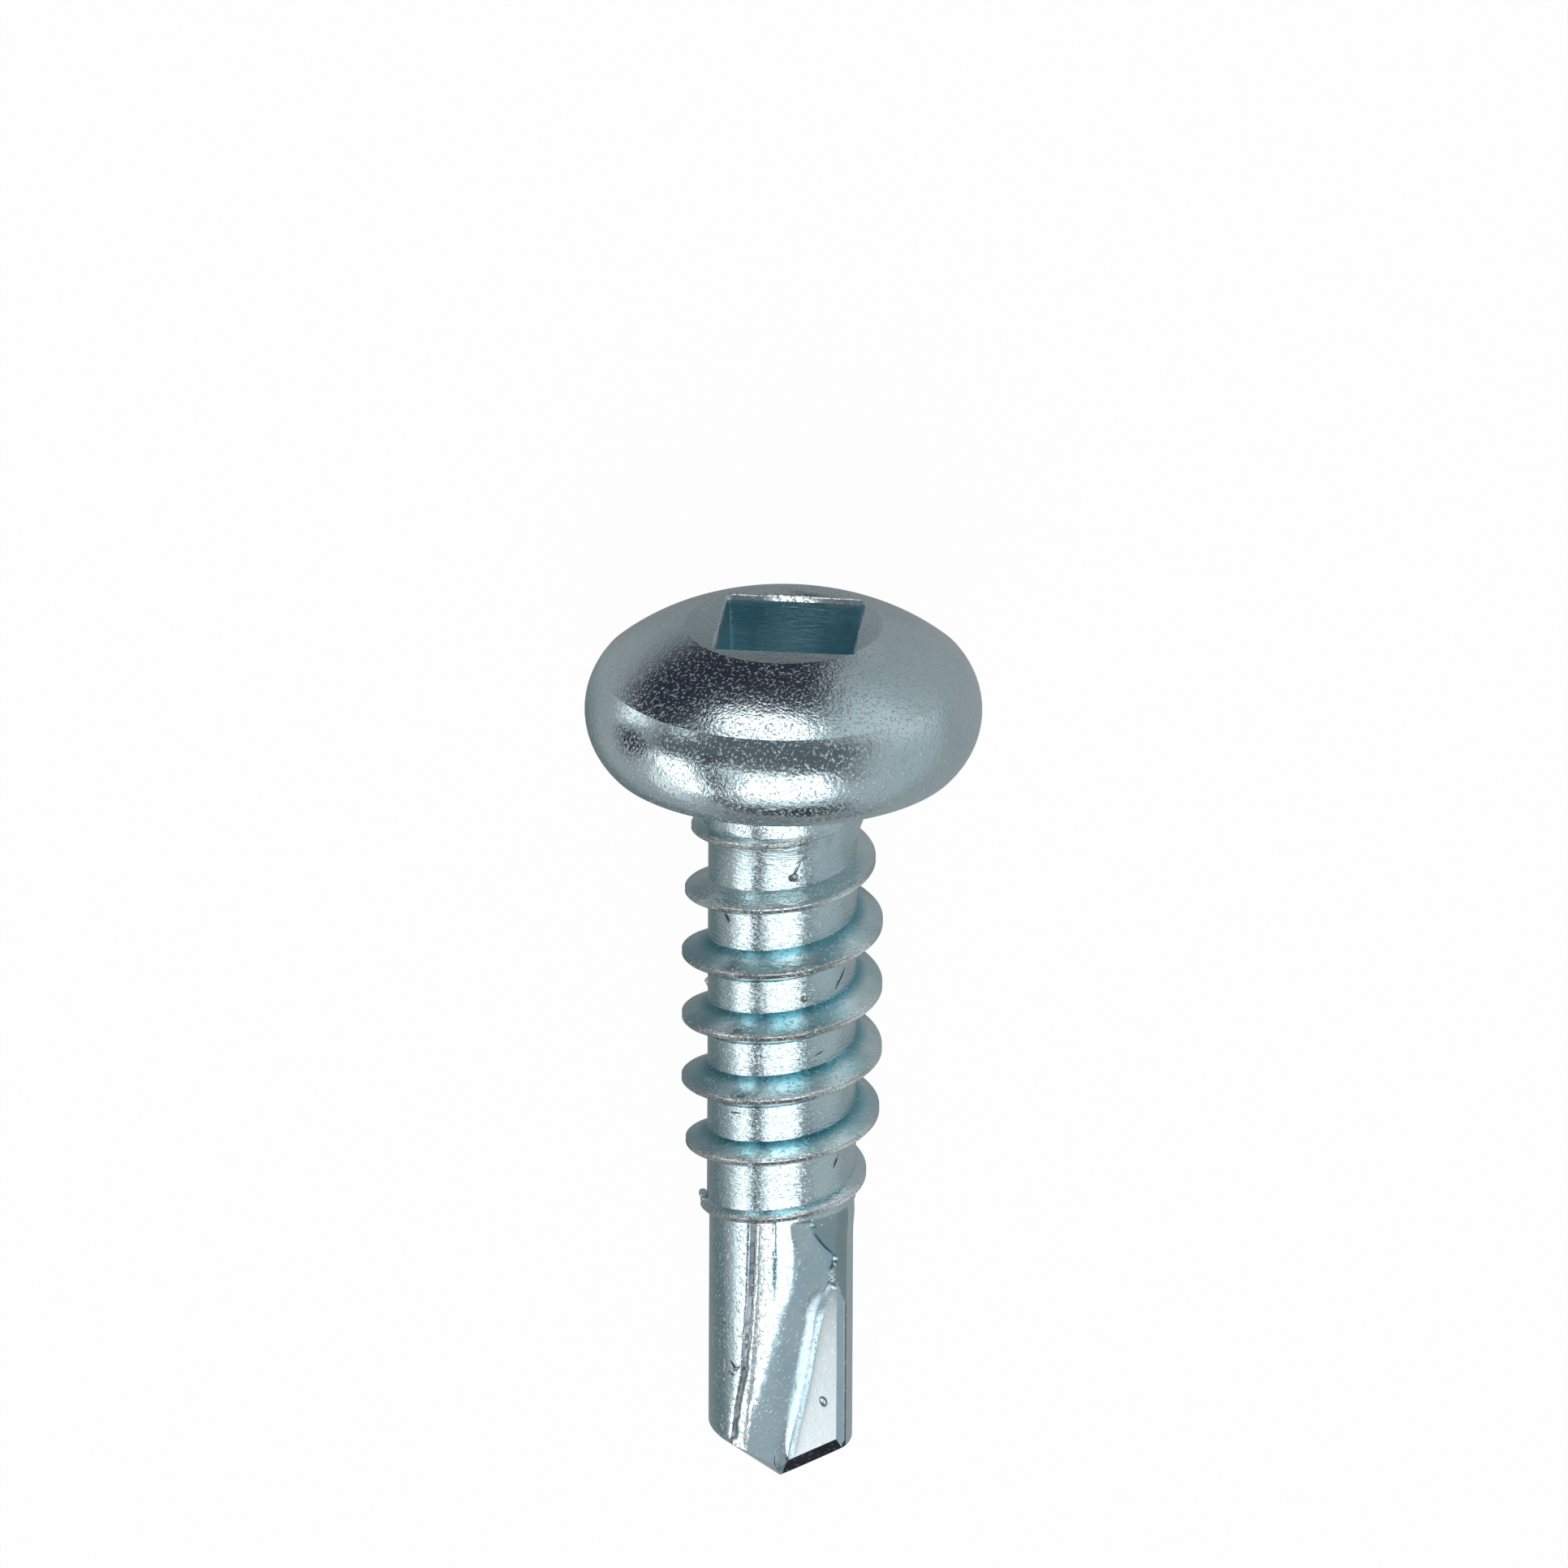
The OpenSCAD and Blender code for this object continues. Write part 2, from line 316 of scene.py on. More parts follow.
def finish(name):
    """The plating of one part of the screw."""
    if name in bpy.data.materials:
        return bpy.data.materials[name]
    pale, deep, roughness, skin, marks, fineness, glints, pitted = FINISHES[name]
    material = bpy.data.materials.new(name)
    material.use_nodes = True
    t = Tree(material.node_tree)
    shader = t.tree.nodes["Principled BSDF"]
    mapping = t.node("Mapping", {"Vector": t.node("TexCoord").outputs["Object"]})
    mapping.inputs["Location"].default_value = to_screw.to_translation()
    mapping.inputs["Rotation"].default_value = to_screw.to_euler()
    mapping.inputs["Scale"].default_value = to_screw.to_scale()
    place = mapping.outputs[0]

    def effect(kind, **values):
        made = t.node("Group", node_tree=EFFECTS[kind])
        t.tree.links.new(place, made.inputs["Vector"])
        for key, value in values.items():
            made.inputs[key.replace("_", " ")].default_value = value
        return made.outputs

    peel = effect("peel", Fineness=fineness)
    lines = effect("marks")
    tint = effect("tint", Pale=(*pale, 1), Deep=(*deep, 1))["Color"]
    pits = t.math("MULTIPLY", effect("pits")["Pits"], pitted)
    # Painted shade: the thread darkens to the root colour towards the core
    if name == "thread":
        root = radius_mask(t, place, CORE_R, CORE_R + 0.28)
        tint = t.mix(root, (*ROOT_PAINTED_SHADE, 1), tint)
    # Painted glints on the highest bumps of the skin
    glint_share = t.math("MULTIPLY", peel["Glints"], glints)
    colour = t.mix(glint_share, tint, (*PAINTED_GLINT_TINT, 1))
    colour = t.mix(pits, colour, (*PIT_TINT, 1))
    height = t.math("MULTIPLY", peel["Height"], skin)
    height = t.math("ADD", height, t.math("MULTIPLY", lines["Height"], marks))
    height = t.math("SUBTRACT", height, t.math("MULTIPLY", pits, PIT_DEPTH))
    bump = t.node("Bump", {"Height": height, "Distance": 1e-6, "Strength": 1.0})
    t.tree.links.new(colour, shader.inputs["Base Color"])
    t.tree.links.new(bump.outputs[0], shader.inputs["Normal"])
    rough = t.math("ADD", roughness - 0.04, t.math("MULTIPLY", peel["Height"], 0.1))
    t.tree.links.new(rough, shader.inputs["Roughness"])
    shader.inputs["Metallic"].default_value = 1
    return material



def deselect():
    bpy.ops.object.select_all(action="DESELECT")


def activate(obj):
    deselect()
    obj.select_set(True)
    bpy.context.view_layer.objects.active = obj


def new_piece(name):
    """The primitive that was just added, under its own name."""
    obj = bpy.context.object
    obj.name = obj.data.name = name
    return obj


def recalculate(obj, merge=1e-5):
    """Merges doubles and turns every face outwards."""
    activate(obj)
    bpy.ops.object.mode_set(mode="EDIT")
    bpy.ops.mesh.select_all(action="SELECT")
    bpy.ops.mesh.remove_doubles(threshold=merge)
    bpy.ops.mesh.normals_make_consistent(inside=False)
    bpy.ops.object.mode_set(mode="OBJECT")


def apply_modifiers(obj):
    activate(obj)
    for m in list(obj.modifiers):
        bpy.ops.object.modifier_apply(modifier=m.name)


def cut(obj, tool, how="DIFFERENCE"):
    """Cuts the tool out of the piece, or joins it, and removes the tool."""
    m = obj.modifiers.new(how.lower(), "BOOLEAN")
    m.operation = how
    m.object = tool
    m.solver = "MANIFOLD"
    m.material_mode = "TRANSFER"
    apply_modifiers(obj)
    bpy.data.objects.remove(tool)


def give_finishes(obj, names):
    """Gives each face the finish named for it."""
    kinds = sorted(set(names))
    obj.data.materials.clear()
    for name in kinds:
        obj.data.materials.append(finish(name))
    obj.data.polygons.foreach_set("material_index", [kinds.index(name) for name in names])


def places(obj):
    """The mesh's points as an array."""
    co = np.empty(len(obj.data.vertices) * 3)
    obj.data.vertices.foreach_get("co", co)
    return co.reshape(-1, 3)


def put_places(obj, co):
    obj.data.vertices.foreach_set("co", co.ravel())
    obj.data.update()


def lookup(x, table):
    return np.interp(x, [p[0] for p in table], [p[1] for p in table])


def arc(start, end, rise, steps):
    """Points on the arc over the chord from start to end that rises to its left."""
    p, q = Vector(start), Vector(end)
    chord = (q - p).length
    r = (chord * chord / 4 + rise * rise) / (2 * rise)
    centre = (p + q) / 2 + (r - rise) / chord * Vector((q.y - p.y, p.x - q.x))
    a0, a1 = (atan2(e.y - centre.y, e.x - centre.x) for e in (p, q))
    turns = [a0 + (a1 - a0) * i / steps for i in range(steps + 1)]
    return [(centre.x + r * cos(a), centre.y + r * sin(a)) for a in turns]


def turned(name, rings, segments):
    """A closed shell turned about Z. A ring is a radius and a height, from the lowest to the highest."""
    r, z = rings[0]
    deselect()
    bpy.ops.mesh.primitive_circle_add(vertices=segments, radius=r, location=(0, 0, z), fill_type="NGON")
    obj = new_piece(name)
    bpy.ops.object.transform_apply(location=True, rotation=False, scale=False)
    bpy.ops.object.mode_set(mode="EDIT")
    for next_r, next_z in rings[1:]:
        bpy.ops.mesh.extrude_region_move(TRANSFORM_OT_translate={"value": (0, 0, next_z - z)})
        bpy.ops.transform.resize(value=(next_r / r, next_r / r, 1), center_override=(0, 0, 0))
        r, z = next_r, next_z
    bpy.ops.object.mode_set(mode="OBJECT")
    recalculate(obj)
    return obj


def make_blank():
    """Head, neck and core."""
    side_rise = HEAD_R - (CREASE_R + SEAT_R) / 2
    fillet_r = SEAT_INNER_R - NECK_R
    land, crease, rim = (LAND_R, HEAD_H), (CREASE_R, CREASE_H), (SEAT_R, 0)
    fillet = [
        (SEAT_INNER_R - fillet_r * sin(a), -fillet_r + fillet_r * cos(a))
        for a in (pi / 2 * i / 6 for i in range(7))
    ]
    core = [(NECK_R, -NECK_LENGTH), (CORE_R, -NECK_LENGTH - NECK_CONE_LENGTH), (CORE_R, -SHOULDER_AT)]
    outline = (
        arc(land, crease, DOME_RISE, HEAD_ARC_STEPS)
        + arc(crease, rim, side_rise, HEAD_ARC_STEPS)[1:]
        + fillet
        + core
    )
    return turned("screw_body", outline[::-1], HEAD_SEGMENTS)


def make_recess_tool():
    """The square punch that leaves the recess, with a flare for the worn lip."""
    foot, top = RECESS_FOOT_W / 2, RECESS_W / 2
    overrun = RECESS_LIP
    bottom = HEAD_H - RECESS_DEPTH
    levels = [(foot * RECESS_TIP_SHARE, bottom - RECESS_CONE_DEPTH), (foot, bottom)]
    levels += [(top, HEAD_H - REAR_LIP), (top, HEAD_H - RECESS_LIP)]
    levels += [
        (top + RECESS_LIP * (1 - cos(a)), HEAD_H - RECESS_LIP + RECESS_LIP * sin(a))
        for a in (radians(t) for t in (20, 40, 60, 75))
    ]
    levels.append((top + 1.6 * RECESS_LIP, HEAD_H + overrun))
    deselect()
    bpy.ops.mesh.primitive_plane_add(size=2 * levels[0][0], location=(0, 0, levels[0][1]))
    tool = new_piece("recess_tool")
    bpy.ops.object.transform_apply(location=True, rotation=False, scale=False)
    bpy.ops.object.mode_set(mode="EDIT")
    bpy.ops.mesh.bevel(offset=RECESS_CORNER_R * RECESS_TIP_SHARE, segments=6, affect="VERTICES")
    w, z = levels[0]
    for next_w, next_z in levels[1:]:
        bpy.ops.mesh.select_mode(type="FACE")
        bpy.ops.mesh.extrude_region_move(TRANSFORM_OT_translate={"value": (0, 0, next_z - z)})
        bpy.ops.transform.resize(value=(next_w / w, next_w / w, 1), center_override=(0, 0, 0))
        w, z = next_w, next_z
    bpy.ops.mesh.select_all(action="SELECT")
    bpy.ops.mesh.subdivide(number_cuts=3)
    bpy.ops.mesh.subdivide(number_cuts=2)
    bpy.ops.object.mode_set(mode="OBJECT")
    recalculate(tool)
    co = places(tool)
    share = np.clip((co[:, 2] - HEAD_H + REAR_LIP) / REAR_LIP, 0, 1.5)
    wavy = np.array([noise.noise(Vector((x * 2.5, y * 2.5, 4))) for x, y in co[:, :2]])
    co[:, 1] += (co[:, 1] > 0) * share * REAR_LIP * (0.85 + 0.9 * wavy)
    co[:, 0] += (co[:, 0] > top - RECESS_LIP) * smooth_step(share) * SIDE_LIP * (1 + wavy)
    co[:, 0] -= (co[:, 0] < RECESS_LIP - top) * smooth_step(share) * SIDE_LIP * (0.6 + wavy)
    put_places(tool, co)
    tool.data.transform(
        Matrix.Translation((RECESS_SHIFT, 0, 0)) @ Matrix.Rotation(RECESS_TURN, 4, "Z")
    )
    return tool


def make_thread():
    """The rolled ridge with its grooved crest, swept by a screw modifier and run out at both ends."""
    turns = THREAD_LENGTH / PITCH
    bite = 1.5 * CREST_W
    inner = CORE_R - bite
    half = CREST_W / 2
    soft = CREST_GROOVE
    upper = [
        (inner, half + (THREAD_R - inner) * tan(FLANK_ANGLE)),
        (CORE_R, half + (THREAD_R - CORE_R) * tan(FLANK_ANGLE) + soft),
        (CORE_R + 2 * soft, half + (THREAD_R - CORE_R - 2 * soft) * tan(FLANK_ANGLE)),
        (THREAD_R - soft, half + soft * tan(FLANK_ANGLE)),
        (THREAD_R, half - soft / 2),
    ]
    outline = upper + [(THREAD_R - CREST_GROOVE, 0)] + [(r, -z) for r, z in reversed(upper)]
    deselect()
    bpy.ops.mesh.primitive_circle_add(vertices=len(outline), fill_type="NOTHING")
    ridge = new_piece("thread")
    put_places(ridge, np.array([(r, 0, z) for r, z in outline]))
    m = ridge.modifiers.new("screw", "SCREW")
    m.angle = -2 * pi * turns
    m.screw_offset = -PITCH * turns
    m.steps = m.render_steps = round(THREAD_STEPS * turns)
    apply_modifiers(ridge)
    bpy.ops.object.mode_set(mode="EDIT")
    bpy.ops.mesh.select_all(action="SELECT")
    bpy.ops.mesh.fill_holes(sides=0)
    bpy.ops.object.mode_set(mode="OBJECT")
    names = []
    for face in ridge.data.polygons:
        done = -face.center.z / PITCH
        whole = 1.5 < done < turns - 1.1
        on_crest = hypot(face.center.x, face.center.y) > THREAD_R - 1.5 * CREST_GROOVE
        names.append("crest" if on_crest else "thread" if whole else "shank")
    give_finishes(ridge, names)
    co = places(ridge)
    r = np.hypot(co[:, 0], co[:, 1])
    part_turn = np.mod(-np.arctan2(co[:, 1], co[:, 0]) / (2 * pi), 1)
    rough_turn = -co[:, 2] / PITCH
    turn = part_turn + np.round(rough_turn - part_turn)
    share = np.minimum(lookup(turn, START_SHARES), lookup(turns - turn, END_SHARES))
    ragged = np.array([noise.noise(Vector((t * 9, 3, 7))) for t in turn])
    new_r = r - (THREAD_R - CORE_R) * (1 - share) + 0.02 * ragged * (r > CORE_R)
    co[:, 2] += 0.012 * np.array([noise.noise(Vector((t * 5, 1, 2))) for t in turn])
    co[:, :2] *= (new_r / r)[:, None]
    put_places(ridge, co)
    ridge.data.transform(
        Matrix.Translation((0, 0, -THREAD_START)) @ Matrix.Rotation(THREAD_TURN, 4, "Z")
    )
    recalculate(ridge)
    return ridge


# How far the inner edge of the cutting face is from the axis, by its height over the tip
VALLEY_REACH = [(0, 0.28), (0.9, 0.46), (1.6, 0.64), (2.3, 0.79), (2.95, 0.9), (3.5, 1.01), (4.05, 1.13), (4.6, 1.27)]
# Edges on the front of the drill, as pairs of a height over the tip and an angle from the front
LEAD_EDGE = [(4.62, 53.2), (4.7, 50), (4.95, 46), (5.27, 53), (5.6, 39), (5.92, 29.6), (6.23, 25.6), (6.5, 35)]
HEEL_EDGE = [(4.6, 45), (4.95, 40), (5.3, 42), (5.9, 24), (6.3, 20)]
SEAM_INNER = [(0, -34), (1.5, -26), (2, -23), (2.7, -18), (3.3, -15), (4.1, -10.4), (4.6, -7.4), (6.4, -7)]
SEAM_OUTER = [(0, -52), (1.5, -40), (2.05, -37), (2.77, -30.4), (4.6, -24), (6.4, -21.7)]
LEAD_SOFT = 0.07
PATCH_STEP = 0.07
SEAM_GROOVE = 0.045
HEEL_BULGE = 0.13
STRIP_FACING = radians(78)
STRIP_WIDTH = [(0, 0.03), (1, 0.07), (3.5, 0.1), (4.6, 0.2), (6.3, 0.25)]
FLUTE_RUN_OUT = 0.12
# Columns of the drill between the edges of one wing and its flute, and rings along it
FEATURE_COLUMNS = {"margin": 7, "face": 14, "strip": 4, "heel": 24, "seam": 14, "land": 28}
BODY_RINGS = 150
PATCH_RINGS = 54
PATCH_SLANT = 2.5
BEVEL_RINGS = 6
CONE_RINGS = 14


def smooth_step(x):
    x = np.clip(x, 0, 1)
    return x * x * (3 - 2 * x)


def bevel_reach(b, h):
    """Distance from the axis to the bevel along the cutting edge."""
    t = pi / 2 - POINT_HALF_ANGLE - POINT_LEAN
    slope = (FACE_OFFSET - EDGE_OFFSET) / EDGE_BEVEL_W
    across = np.sin(b) + slope * sin(t) * np.cos(b)
    reach = np.where(across > 0.01, (EDGE_OFFSET + slope * cos(t) * h) / np.maximum(across, 0.01), FAR)
    over = cos(t) * h - EDGE_BEVEL_W
    outward = sin(t) * np.cos(b)
    limit = np.where(over <= 0, 0.0, np.where(outward > 0.001, over / np.maximum(outward, 0.001), FAR))
    fade = 1 + FAR * smooth_step((b - radians(65)) / radians(30)) ** 2
    return np.where(np.abs(b) < radians(95), np.maximum(reach, limit) * fade, FAR)


def cone_reach(b, h, wing):
    """Distance from the axis to the cone of the point, which leans towards the leading wing."""
    b = b + wing * pi
    c2 = cos(POINT_HALF_ANGLE) ** 2
    a2 = np.cos(b) ** 2 * sin(POINT_LEAN) ** 2 - c2
    a1 = h * np.cos(b) * sin(POINT_LEAN) * cos(POINT_LEAN)
    a0 = h * h * (cos(POINT_LEAN) ** 2 - c2)
    return (-a1 - np.sqrt(a1 * a1 - a2 * a0)) / a2


def on_circle(b, r):
    return np.stack([r * np.cos(b), r * np.sin(b)], -1)


def bowed(p, q, t):
    """Points from p to q at even angles round the axis, on a line that bows outwards."""
    b0, b1 = (np.arctan2(e[:, 1:], e[:, :1]) for e in (p, q))
    r0, r1 = (np.linalg.norm(e, axis=-1, keepdims=True) for e in (p, q))
    b = b0 + (b1 - b0) * t
    chord = np.sin(b1 - b0) / (np.sin(b1 - b) / r0 + np.sin(b - b0) / r1)
    reach = np.linalg.norm(q - p, axis=-1, keepdims=True)
    r = chord + HEEL_BULGE * reach * 5.4 * t**1.5 * (1 - t)
    return np.concatenate([r * np.cos(b), r * np.sin(b)], -1)


def patch_share(h):
    """0 along the cutting face and 1 above it, where the torn patch of the full round begins."""
    return smooth_step((h - LEAD_EDGE[0][0] + 0.02) / 0.12)


def drill_section(h):
    """Corners of the front section at each height, with angles counted behind the wing."""
    front = pi / 2 + WING_TURN
    lead = front - np.radians(sum(lookup(h + k * LEAD_SOFT, LEAD_EDGE) for k in (-1, 0, 1)) / 3)
    inner = front - np.radians(lookup(h, SEAM_INNER))
    outer = front - np.radians(lookup(h, SEAM_OUTER))
    start = 0 * h + MARGIN_TURN - acos(MARGIN_OFFSET / DRILL_R)
    above = patch_share(h)
    lead_r = np.minimum(DRILL_R, MARGIN_OFFSET / np.cos(lead - MARGIN_TURN))
    lead_r = lead_r + (DRILL_R - lead_r) * above
    valley = np.stack([lookup(h, VALLEY_REACH), 0 * h + FACE_OFFSET], -1)
    valley += (on_circle(lead + 0.035, DRILL_R - PATCH_STEP) - valley) * above[:, None]
    corners = {
        "start": on_circle(start, DRILL_R),
        "lead": on_circle(lead, lead_r),
        "valley": valley,
        "inner": on_circle(inner, DRILL_R - 0.02),
    }
    width = lookup(h, STRIP_WIDTH)
    strip_way = on_circle(front + STRIP_FACING + 0 * h, 1.0)
    heel = np.stack([lookup(h, VALLEY_REACH), 0 * h + FACE_OFFSET], -1) + strip_way * width[:, None]
    upper_heel = on_circle(front - np.radians(lookup(h, HEEL_EDGE)), DRILL_R - PATCH_STEP)
    corners["strip"] = heel + (upper_heel - heel) * smooth_step((h - 3.9) / 1.3)[:, None]
    return start, lead, inner, outer, corners


def make_drill():
    """Drill with two pinched flutes. A grid is wrapped round it with its lines along the edges."""
    stops = np.cumsum([0] + list(FEATURE_COLUMNS.values()))
    half = stops[-1]
    columns = 2 * half
    rings = BODY_RINGS + BEVEL_RINGS + CONE_RINGS
    deselect()
    bpy.ops.mesh.primitive_grid_add(x_subdivisions=columns, y_subdivisions=rings, size=2)
    drill = new_piece("drill")
    flat = places(drill)
    parts = list(FEATURE_COLUMNS)
    names = []
    for face in drill.data.polygons:
        place = int((face.center.x + 1) / 2 * columns) % half
        part = parts[int(np.searchsorted(stops, place, "right")) - 1]
        down = (face.center.y + 1) / 2 * rings
        kind = DRILL_FINISHES[part]
        on_bevel = BODY_RINGS < down < BODY_RINGS + BEVEL_RINGS
        # The bevel and cone of the point take the near-black lip colours, painted shade
        if part in ("face", "strip") and down > BODY_RINGS or part == "margin" and on_bevel:
            kind = "lip"
        # Painted shade along the seam's outer groove and the margin's back edge, and a painted highlight in the pale
        # rim colours beside it
        if place in (stops[5] - 1, stops[5]) or place == 0 and down < BODY_RINGS:
            kind = "groove"
        if place == 1 and down < BODY_RINGS:
            kind = "rim"
        patch_end = PATCH_RINGS + PATCH_SLANT * max(0, stops[1] - place)
        if down < patch_end and part in ("margin", "face"):
            kind = "patch"
        names.append(kind)
    give_finishes(drill, names)
    column = np.round((flat[:, 0] + 1) / 2 * columns).astype(int)
    ring = np.round((flat[:, 1] + 1) / 2 * rings).astype(int)
    wing = np.minimum(column // half, 1)
    own = column - wing * half

    top = DRILL_LENGTH + NECK_LENGTH / 2
    levels = np.linspace(0, top, 600)
    start, lead, inner, outer, corners = drill_section(np.minimum(levels, DRILL_LENGTH))

    def at(values, h):
        if values.ndim == 1:
            return np.interp(h, levels, values)
        return np.stack([np.interp(h, levels, values[:, k]) for k in (0, 1)], -1)

    def side(h):
        """Angle and distance from the axis of every column at its height."""
        b = np.empty(own.shape)
        r = np.full(own.shape, DRILL_R)
        for k, part in enumerate(FEATURE_COLUMNS):
            here = (own >= stops[k]) & (own <= stops[k + 1])
            t = (own[here] - stops[k]) / (stops[k + 1] - stops[k])
            y = h[here]
            if part == "margin":
                b[here] = at(start, y) * (1 - t) + at(lead, y) * t
                flat_r = MARGIN_OFFSET / np.cos(b[here] - MARGIN_TURN)
                r[here] = np.minimum(DRILL_R, flat_r + (DRILL_R - flat_r) * patch_share(y))
                continue
            if part == "seam":
                b[here] = at(inner, y) * (1 - t) + at(outer, y) * t
                r[here] = DRILL_R - 0.02 * (1 - t)
                continue
            if part == "land":
                b[here] = at(outer, y) * (1 - t) + (at(start, y) + pi) * t
                continue
            t = t[:, None]
            if part == "face":
                p = at(corners["lead"], y) * (1 - t) + at(corners["valley"], y) * t
            elif part == "strip":
                p = at(corners["valley"], y) * (1 - t) + at(corners["strip"], y) * t
            else:
                p = bowed(at(corners["strip"], y), at(corners["inner"], y), t)
            b[here] = np.arctan2(p[:, 1], p[:, 0])
            r[here] = np.minimum(np.hypot(p[:, 0], p[:, 1]), DRILL_R)
        closing = smooth_step((DRILL_LENGTH - h) / FLUTE_RUN_OUT)
        return b, DRILL_R + (r - DRILL_R) * closing

    def boundary(inside, low, high):
        """Height in each column up to which a test holds."""
        for _ in range(22):
            middle = (low + high) / 2
            holds = inside(middle)
            low, high = np.where(holds, middle, low), np.where(holds, high, middle)
        return low

    def under_cone(h):
        b, r = side(h)
        return cone_reach(b, h, wing) < np.minimum(r, bevel_reach(b, h))

    def bevelled(h):
        b, r = side(h)
        return bevel_reach(b, h) < r

    zero = np.zeros(own.shape)
    corner = boundary(under_cone, zero, zero + 2.5)
    bevel_top = np.maximum(boundary(bevelled, corner, corner + 1), corner + 0.12)
    below = ring - BODY_RINGS
    h = np.where(
        below <= 0,
        top + (bevel_top - top) * ring / BODY_RINGS,
        np.where(
            below <= BEVEL_RINGS,
            bevel_top + (corner - bevel_top) * below / BEVEL_RINGS,
            corner * (1 - (below - BEVEL_RINGS) / CONE_RINGS),
        ),
    )
    b, r = side(h)
    r = np.minimum(r, bevel_reach(b, h))
    r = np.where(h > 0, np.minimum(r, cone_reach(b, np.maximum(h, 1e-6), wing)), 0)
    on_side = (below < 0) & (h < DRILL_LENGTH + 0.1)
    inner_at, outer_at, lead_at = at(inner, h), at(outer, h), at(lead, h)
    turn = WING_TURN + wing * pi - b
    for k in np.flatnonzero(on_side):
        place = Vector((turn[k] * DRILL_R, h[k], 3.0 * wing[k]))
        rough = noise.noise(place * 14)
        fine = noise.noise(place * 27)
        from_inner = (b[k] - inner_at[k]) * DRILL_R
        from_outer = (b[k] - outer_at[k]) * DRILL_R
        ragged = 0.03 * noise.noise(place * 6 + Vector((0, 0, 9)))
        groove = SEAM_GROOVE * np.exp(-(((from_outer + ragged) / 0.06) ** 2))
        groove += 0.35 * SEAM_GROOVE * np.exp(-(((from_inner + ragged) / 0.06) ** 2))
        band = 1.0 if from_inner > 0 and from_outer < 0 else np.exp(-((min(abs(from_inner), abs(from_outer)) / 0.04) ** 2))
        r[k] += 0.004 * (rough + fine) * band - groove
        if wing[k] == 0 and h[k] > 4.4:
            edge = np.exp(-(((b[k] - lead_at[k]) * DRILL_R / 0.06) ** 2))
            r[k] += edge * 0.02 * (fine + rough) * smooth_step((h[k] - 4.4) / 0.2)
    from_wing = np.mod(turn - WING_TURN + pi, 2 * pi) - pi
    r += 0.035 * np.exp(-(((from_wing - radians(12)) / radians(22)) ** 2) - ((h - 6.0) / 0.3) ** 2)
    co = np.stack([r * np.cos(turn), r * np.sin(turn), h - LENGTH], -1)
    put_places(drill, co)
    bpy.ops.object.mode_set(mode="EDIT")
    bpy.ops.mesh.select_all(action="SELECT")
    bpy.ops.mesh.remove_doubles(threshold=1e-4)
    bpy.ops.mesh.fill_holes(sides=0)
    bpy.ops.object.mode_set(mode="OBJECT")
    recalculate(drill)
    return drill


# Nicks: distance under the seat, angle from the front, distance from the axis, half length, half width, depth
# and the turn of the long side from level, in millimetres and degrees
NICKS = [
    (2.05, 8.5, CORE_R + 0.01, 0.11, 0.1, 0.06, 0),
    (1.86, 11, CORE_R, 0.16, 0.03, 0.03, 62),
    (1.68, 14, CORE_R + 0.01, 0.16, 0.022, 0.025, 35),
    (3.13, -48, CORE_R, 0.15, 0.05, 0.06, -55),
    (4.5, 52, CORE_R, 0.22, 0.03, 0.035, 50),
    (4.62, 47, CORE_R, 0.1, 0.03, 0.03, 70),
    (4.76, 17, CORE_R, 0.08, 0.07, 0.04, 0),
    (8.52, 47, CORE_R, 0.16, 0.035, 0.05, 65),
    (6.02, 30, CORE_R, 0.12, 0.02, 0.02, 20),
    (7.4, -38, CORE_R, 0.16, 0.02, 0.02, 10),
    (13.05, -41, DRILL_R, 0.14, 0.045, 0.05, -50),
    (13.12, -38, DRILL_R, 0.13, 0.035, 0.04, 35),
    (13.25, -43, DRILL_R, 0.09, 0.03, 0.035, -20),
    (12.2, -52, DRILL_R, 0.05, 0.03, 0.03, 0),
]
# Burrs: distance under the seat, angle from the front, distance from the axis and size
BURRS = [
    (5.03, -92, CORE_R - 0.04, 0.1),
    (9.74, -91, CORE_R + 0.07, 0.1),
    (2.15, 12, CORE_R - 0.02, 0.06),
    (2.1, 14, CORE_R - 0.02, 0.05),
]
TORN_PIECES = 24
DENT_UNDER_SEAT = 14.03
DENT_ALONG_FACE = 1.1
DENT_R = 0.085
DENT_RIM_R = 0.018


def lump(name, size, centre, turn, seed, rough=0.25):
    """An uneven pebble: its half sizes round the screw, along it and outwards, and its place."""
    deselect()
    bpy.ops.mesh.primitive_ico_sphere_add(subdivisions=3, radius=1)
    obj = new_piece(name)
    co = places(obj)
    stretch = [1 + rough * noise.noise(Vector(c) * 1.7 + Vector((seed, 0, 0))) for c in co]
    put_places(obj, co * np.array(stretch)[:, None])
    angle, height, reach = centre
    obj.data.transform(
        Matrix.Rotation(angle, 4, "Z")
        @ Matrix.Translation((0, -reach, height))
        @ Matrix.Rotation(turn, 4, "Y")
        @ Matrix.Diagonal((*size, 1))
    )
    return obj


